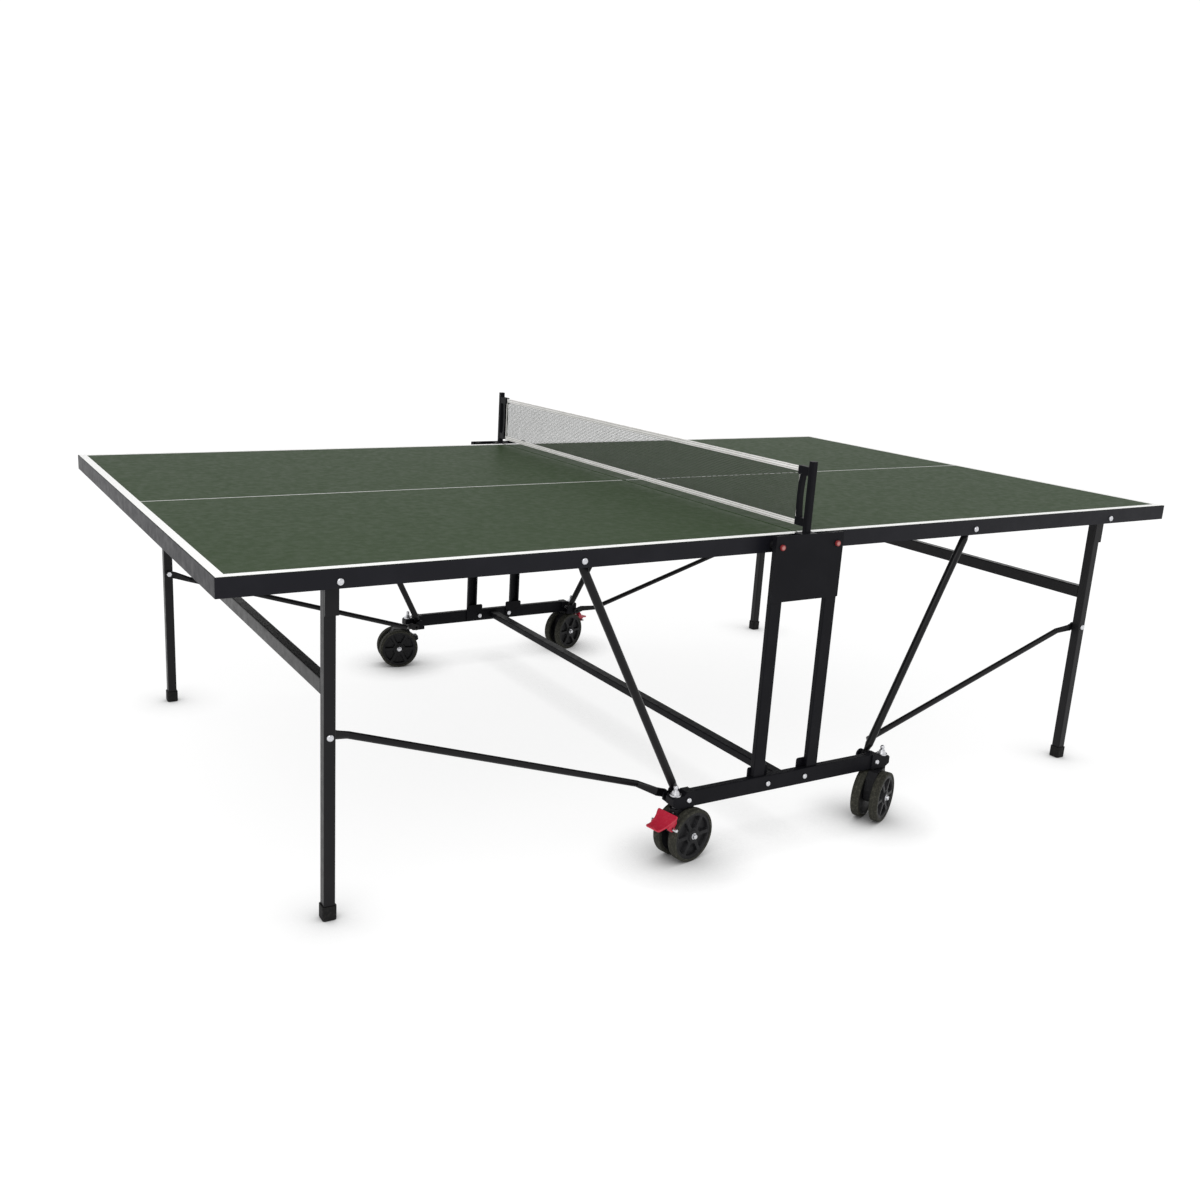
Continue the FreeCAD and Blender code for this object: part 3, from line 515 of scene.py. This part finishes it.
def add_band(mesh, start, end, height, thickness, upward):
    """Folded tape from start to end; upward is the direction of its height."""
    start, end, _, across, upward = along_band(start, end, upward)
    outline = band_section(height, thickness)
    ring_points = outline + [(-a, b) for a, b in reversed(outline[1:-1])]
    steps = max(2, round((end - start).length / BAND_STEP))
    rings = []
    for i in range(steps + 1):
        centre = start.lerp(end, i / steps)
        wave = PUCKER * math.sin(i * PUCKER_TURN)
        pucker = 1.0 + wave + random.uniform(-PUCKER_NOISE, PUCKER_NOISE)
        rings.append([mesh.verts.new(centre + across * a * pucker + upward * b) for a, b in ring_points])
    for ring, following in zip(rings[:-1], rings[1:]):
        join_rings(mesh, ring, following)
    mesh.faces.new(list(reversed(rings[0])))
    mesh.faces.new(rings[-1])


def add_stitches(mesh, start, end, height, thickness, upward):
    """Two rows of stitches on each face of a band, in their shallow grooves."""
    start, end, run, across, upward = along_band(start, end, upward)
    count = round((end - start).length / STITCH_PITCH)
    reach = run * STITCH_PITCH * STITCH_REACH
    for face in (-1, 1):
        for row in (-BAND_GROOVE, BAND_GROOVE):
            for i in range(count):
                middle = start.lerp(end, (i + 0.5) / count)
                middle += upward * row * height / 2 + across * face * thickness * STITCH_PLACE
                add_tube(mesh, middle - reach, middle + reach, STITCH_RADIUS, 5)


def build_net():
    """Mesh, bands and seams in place of the net's slab."""
    low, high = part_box("net")
    threads = add_piece("net_mesh", net_mesh(low, high), "chassis", [THREAD], 60.0)
    bands, stitches = bmesh.new(), bmesh.new()
    runs = []
    for z in (high.z - BAND_HEIGHT / 2, low.z + BAND_HEIGHT / 2):
        runs.append(((0, low.y, z), (0, high.y, z), BAND_HEIGHT, (0, 0, 1)))
    for y in (low.y + SIDE_BAND / 2, high.y - SIDE_BAND / 2):
        runs.append(((0, y, low.z + BAND_HEIGHT), (0, y, high.z - BAND_HEIGHT), SIDE_BAND, (0, 1, 0)))
    for start, end, height, upward in runs:
        add_band(bands, start, end, height, BAND_THICKNESS, upward)
        add_stitches(stitches, start, end, height, BAND_THICKNESS, upward)
    tape = add_piece("net_bands", bands, "chassis", [TAPE], 50.0)
    seams = add_piece("net_stitches", stitches, "chassis", [STITCH])
    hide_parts("net")


# --- casters ------------------------------------------------------------------------
WHEEL_SEGMENTS = 120
AXLE_SEGMENTS = 32
WHEEL_FACE = 35 * MM       # outer and inner face of a wheel, from the caster's middle
WHEEL_BACK = 13 * MM
POCKETS = 6
POCKET_RING = (20 * MM, 50 * MM)
POCKET_DEPTH = 7.5 * MM
SPOKE_HALF = 4.5 * MM
TREAD_CROWN = 3.0 * MM
TREAD_GROOVE = 0.7 * MM    # depth of the mould line round the middle of the tread
TYRE_DEPTH = 8 * MM
DISC_RIM = 10 * MM         # from the tread to the disc that holds the pockets
DISC_HUB = 17 * MM
DISC_SET_BACK = 1.5 * MM
DISC_STEPS = 26
AXLE_BACK = 12.6 * MM
AXLE_END = 7.5 * MM        # beyond the wheel's face


def caster_frame(corner):
    """Matrix of a caster's own frame: its stem on the floor, trailing towards +X."""
    stem = Vector(joints["swivel_" + corner]["pos_m"])
    axle = Vector(joints["roll_" + corner]["pos_m"])
    trail = axle - stem
    turn = Matrix.Rotation(math.atan2(trail.y, trail.x), 4, "Z")
    place = Matrix.Translation((stem.x, stem.y, 0.0)) @ turn
    return place, math.hypot(trail.x, trail.y), axle.z


def sideways(flip):
    """Turns the local Z axis across the caster, to one side or the other."""
    return Matrix.Rotation(math.radians(-90 * flip), 4, "X")


def pocket_depth(radius, height, angle):
    """Depth of the six moulded pockets in a wheel's outer face."""
    if height < WHEEL_FACE - 4 * MM:
        return 0.0
    inner, outer = POCKET_RING
    wall = 2.5 * MM
    ring = smoothstep(inner, inner + wall, radius) * (1 - smoothstep(outer - wall, outer, radius))
    step = 2 * math.pi / POCKETS
    from_spoke = abs((angle + step / 2) % step - step / 2) * radius
    return POCKET_DEPTH * ring * smoothstep(SPOKE_HALF, SPOKE_HALF + 2.0 * MM, from_spoke)


def wheel_profile(radius):
    """Section of one wheel, from its inner hub face round the tread to its outer face."""
    face, back = WHEEL_FACE, WHEEL_BACK
    crown, groove = TREAD_CROWN, radius - TREAD_GROOVE
    points = [(0.0, back), (12 * MM, back), (14 * MM, back + 1 * MM), (radius - 9 * MM, back + 1.5 * MM),
              (radius - TYRE_DEPTH, back), (radius - crown, back)]
    points += arc_points((radius - crown, back + crown), crown, -90, 0, 5)[1:]
    middle = (face + back) / 2
    points += [(radius, middle - 1.2 * MM), (groove, middle - 0.6 * MM),
               (groove, middle + 0.6 * MM), (radius, middle + 1.2 * MM)]
    points += arc_points((radius - crown, face - crown), crown, 0, 90, 5)
    disc = face - DISC_SET_BACK
    points += [(radius - 7 * MM, face), (radius - 7.8 * MM, face - 0.4 * MM), (radius - 8.2 * MM, disc)]
    start, end = radius - DISC_RIM, DISC_HUB
    points += [(start + (end - start) * i / DISC_STEPS, disc) for i in range(DISC_STEPS + 1)]
    points += [(15.5 * MM, face - 1.2 * MM), (15 * MM, face + 0.8 * MM), (14.2 * MM, face + 1.5 * MM),
               (9 * MM, face + 1.5 * MM), (8.4 * MM, face + 0.8 * MM), (0.0, face + 0.8 * MM)]
    return points


def axle_profile():
    """Axle with a washer and a cylinder head at its end, as seen from one side."""
    face = WHEEL_FACE + 0.8 * MM
    top = WHEEL_FACE + AXLE_END
    rod = [(0.0, AXLE_BACK), (5 * MM, AXLE_BACK), (5 * MM, face)]
    washer = [(7.6 * MM, face), (7.8 * MM, face + 0.3 * MM), (7.6 * MM, face + 1.0 * MM),
              (5.5 * MM, face + 1.1 * MM)]
    head = [(5.5 * MM, top - 0.8 * MM), (5.2 * MM, top - 0.25 * MM), (4.7 * MM, top)]
    socket = [(2.2 * MM, top), (1.9 * MM, top - 0.5 * MM), (0.0, top - 0.6 * MM)]
    return rod + washer + head + socket


def build_wheels(corner):
    """Two wheels with tyres, each with its end of the axle."""
    place, trail, height = caster_frame(corner)
    rim = height - TYRE_DEPTH
    for name, flip in (("inner", 1), ("outer", -1)):
        centre = place @ Matrix.Translation((trail, 0, height)) @ sideways(flip)
        wheel = bmesh.new()
        add_lathe(wheel, wheel_profile(height), WHEEL_SEGMENTS, centre, pocket_depth,
                  lambda radius: 1 if radius > rim else 0)
        add_piece(f"wheel_{corner}_{name}", wheel, "wheels_" + corner,
                                [LOOKS["wheel_plastic"], TYRE], 35.0)
        axle = bmesh.new()
        add_lathe(axle, axle_profile(), AXLE_SEGMENTS, centre)
        add_piece(f"axle_nut_{corner}_{name}", axle, "wheels_" + corner,
                                [LOOKS["zinc"]])
    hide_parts("caster_wheels_" + corner)


# --- brake pedals -------------------------------------------------------------------
# A pedal's outline in its caster's own frame: it trails towards +X, so the pedal is at -X.
PEDAL_TIP = (-72 * MM, 102 * MM)
PEDAL_TOP = (-20 * MM, 128 * MM)
PEDAL_CURVE = 2.4          # power of the plate's climb from its tip to its top
PEDAL_SHEET = 5.0 * MM
PEDAL_WAIST = (-62 * MM, 21.5 * MM, 75 * MM)    # place, half width, radius
PEDAL_CORNER = 6.0 * MM
PEDAL_EDGE = 1.9 * MM
PEDAL_ROWS = 44
PEDAL_COLUMNS = 20
CHEEK = (15 * MM, 27 * MM)     # inner and outer face of a cheek, from the caster's middle
WHEEL_CLEARANCE = 3 * MM
PIN_SEGMENTS = 28
PIN_SLEEVE = (29.5 * MM, 40.5 * MM, 3.9 * MM)   # inner end, outer end, radius


def pedal_height(x):
    """Height of the plate's upper face."""
    climb = clamp((x - PEDAL_TIP[0]) / (PEDAL_TOP[0] - PEDAL_TIP[0]))
    return PEDAL_TIP[1] + (PEDAL_TOP[1] - PEDAL_TIP[1]) * climb ** PEDAL_CURVE


def rounding(past):
    """Drop of a round edge, at a part of its radius past where it starts."""
    return PEDAL_EDGE * (1 - math.sqrt(1 - clamp(past) ** 2))


def pedal_half_width(x):
    """Waisted sides, with round corners at the tip and at the top."""
    waist_x, half, radius = PEDAL_WAIST
    width = half + radius - math.sqrt(radius ** 2 - (x - waist_x) ** 2)
    for end in (PEDAL_TIP[0], PEDAL_TOP[0]):
        left = PEDAL_CORNER - abs(x - end)
        if left > 0:
            width -= PEDAL_CORNER - math.sqrt(PEDAL_CORNER ** 2 - left ** 2)
    return width


def add_pedal_plate(mesh, place):
    """Curved plate with rounded edges all round, as closed rings from tip to top."""
    rings = []
    for i in range(PEDAL_ROWS + 1):
        t = 0.5 - 0.5 * math.cos(math.pi * i / PEDAL_ROWS)
        x = PEDAL_TIP[0] + (PEDAL_TOP[0] - PEDAL_TIP[0]) * t
        top, width = pedal_height(x), pedal_half_width(x)
        from_end = min(x - PEDAL_TIP[0], PEDAL_TOP[0] - x)
        inset = rounding(1 - from_end / PEDAL_EDGE)
        upper, lower = top - inset, top - PEDAL_SHEET + inset
        ring = []
        for j in range(PEDAL_COLUMNS + 1):
            v = math.sin(math.pi * (j / PEDAL_COLUMNS - 0.5))
            drop = rounding(1 - (1 - abs(v)) * width / PEDAL_EDGE) * 0.98
            ring.append((x, v * width, upper - min(drop, (upper - lower) / 2 - 1e-5)))
        under = [(px, py, lower + (upper - pz)) for px, py, pz in reversed(ring[1:-1])]
        rings.append([mesh.verts.new(place @ Vector(p)) for p in ring + under])
    for ring, following in zip(rings[:-1], rings[1:]):
        join_rings(mesh, ring, following)
    mesh.faces.new(rings[0])
    mesh.faces.new(rings[-1])


def add_pedal_rib(mesh, place, trail, height, side):
    """Cheek under the plate that turns on the pin, hollowed to clear the wheel."""
    clear = height + WHEEL_CLEARANCE
    angles = [math.radians(a) for a in (159, 155, 150, 145, 141)]
    hollow = [(trail + clear * math.cos(a), height + clear * math.sin(a)) for a in angles]
    outline = [(-38 * MM, 97 * MM), (-35 * MM, 91 * MM)] + hollow
    for x in (-20 * MM, -30 * MM, -40 * MM, -48 * MM):
        outline.append((x, pedal_height(x) - PEDAL_SHEET + 1 * MM))
    walls = [[mesh.verts.new(place @ Vector((x, side * y, z))) for x, z in outline] for y in CHEEK]
    for wall in walls:
        mesh.faces.new(wall)
    join_rings(mesh, *walls)


def build_pedal(corner):
    """Red brake pedal in place of the CAD one, and the ends of the pin it turns on."""
    place, trail, height = caster_frame(corner)
    pedal = bmesh.new()
    add_pedal_plate(pedal, place)
    for side in (-1, 1):
        add_pedal_rib(pedal, place, trail, height, side)
    piece = add_piece("pedal_" + corner, pedal, "pedal_" + corner, [LOOKS["pedal_red"]], 45.0)
    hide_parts("brake_pedal_" + corner)
    pivot = Vector(joints["brake_" + corner]["pos_m"])
    inner, outer, radius = PIN_SLEEVE
    ends = bmesh.new()
    profile = [(0.0, inner), (radius, inner), (radius, outer - 1 * MM),
               (radius - 0.3 * MM, outer - 0.3 * MM), (radius - 1 * MM, outer), (0.0, outer)]
    for flip in (1, -1):
        centre = Matrix.Translation(pivot) @ place.to_3x3().to_4x4() @ sideways(flip)
        add_lathe(ends, profile, PIN_SEGMENTS, centre)
    add_piece("pedal_pin_ends_" + corner, ends, "caster_" + corner, [LOOKS["zinc"]])


# --- stage and light ----------------------------------------------------------------
CONTACT_REACH = 0.16       # how far the soft contact shadows reach round feet and wheels
CONTACT_DEPTH = 1.6        # power that darkens them
FLOOR_GLOW = 0.86
FLOOR_HALF = 40.0


def build_stage():
    """Plain pale floor, lit through like a light table, with soft contact shadows."""
    mesh = bmesh.new()
    half = FLOOR_HALF
    outline = ((-half, -half), (half, -half), (half, half), (-half, half))
    mesh.faces.new([mesh.verts.new((x, y, 0)) for x, y in outline])
    data = bpy.data.meshes.new("floor")
    mesh.to_mesh(data)
    mesh.free()
    s = Shader("floor_paint", Specular_IOR_Level=0.1)
    tone = s.mix(s.remap(s.noise(1.2, 3.0), 0.3, 0.7), (0.19, 0.19, 0.19), (0.21, 0.21, 0.21))
    near = s.nodes.new("ShaderNodeAmbientOcclusion")
    near.samples = 8
    near.inputs["Distance"].default_value = CONTACT_REACH
    shade = s.combine("POWER", near.outputs["AO"], CONTACT_DEPTH)
    glow = s.combine("MULTIPLY", shade, FLOOR_GLOW)
    s.bsdf.inputs["Emission Color"].default_value = (1.0, 1.0, 1.0, 1.0)
    s.links.new(glow, s.bsdf.inputs["Emission Strength"])
    data.materials.append(s.done(tone, s.remap(s.noise(8.0), 0.3, 0.7, 0.8, 0.9)))
    floor = bpy.data.objects.new("floor", data)
    bpy.context.scene.collection.objects.link(floor)


def add_light(name, place, aim, size, energy):
    """Soft rectangular lamp, in metres and watts."""
    data = bpy.data.lights.new(name, "AREA")
    data.shape = "RECTANGLE"
    data.size, data.size_y = size
    data.energy = energy
    light = bpy.data.objects.new(name, data)
    light.location = place
    light.rotation_euler = (Vector(aim) - Vector(place)).to_track_quat("-Z", "Y").to_euler()
    bpy.context.scene.collection.objects.link(light)


WORLD_RAMPS = {"Z": (0.2, 0.7, 1.1, 0.75), "X": (-1.0, 1.0, 1.12, 0.90)}


def light_studio():
    """White tent: brighter low down and on the left, with a soft key and fill above."""
    world = bpy.data.worlds.new("studio")
    world.use_nodes = True
    nodes, links = world.node_tree.nodes, world.node_tree.links
    nodes["Background"].inputs["Color"].default_value = (1.0, 1.0, 1.0, 1.0)
    direction = nodes.new("ShaderNodeSeparateXYZ")
    links.new(nodes.new("ShaderNodeTexCoord").outputs["Generated"], direction.inputs["Vector"])
    product = nodes.new("ShaderNodeMath")
    product.operation = "MULTIPLY"
    for (axis, ramp), socket in zip(WORLD_RAMPS.items(), product.inputs):
        links.new(map_range(nodes, links, direction.outputs[axis], *ramp), socket)
    links.new(product.outputs["Value"], nodes["Background"].inputs["Strength"])
    bpy.context.scene.world = world
    add_light("key", (-3.0, -3.0, 4.5), (0, 0, 0.4), (3.0, 2.5), 90.0)
    add_light("fill", (3.5, -2.0, 3.0), (0, 0, 0.5), (3.0, 3.0), 20.0)
    bpy.context.scene.view_settings.view_transform = "Standard"


make_camera()
dress_frame()
for side, sign in HALVES.items():
    playing_lines(side, sign)
build_net()
for corner in CORNERS:
    build_wheels(corner)
for corner in BRAKED:
    build_pedal(corner)
build_stage()
light_studio()
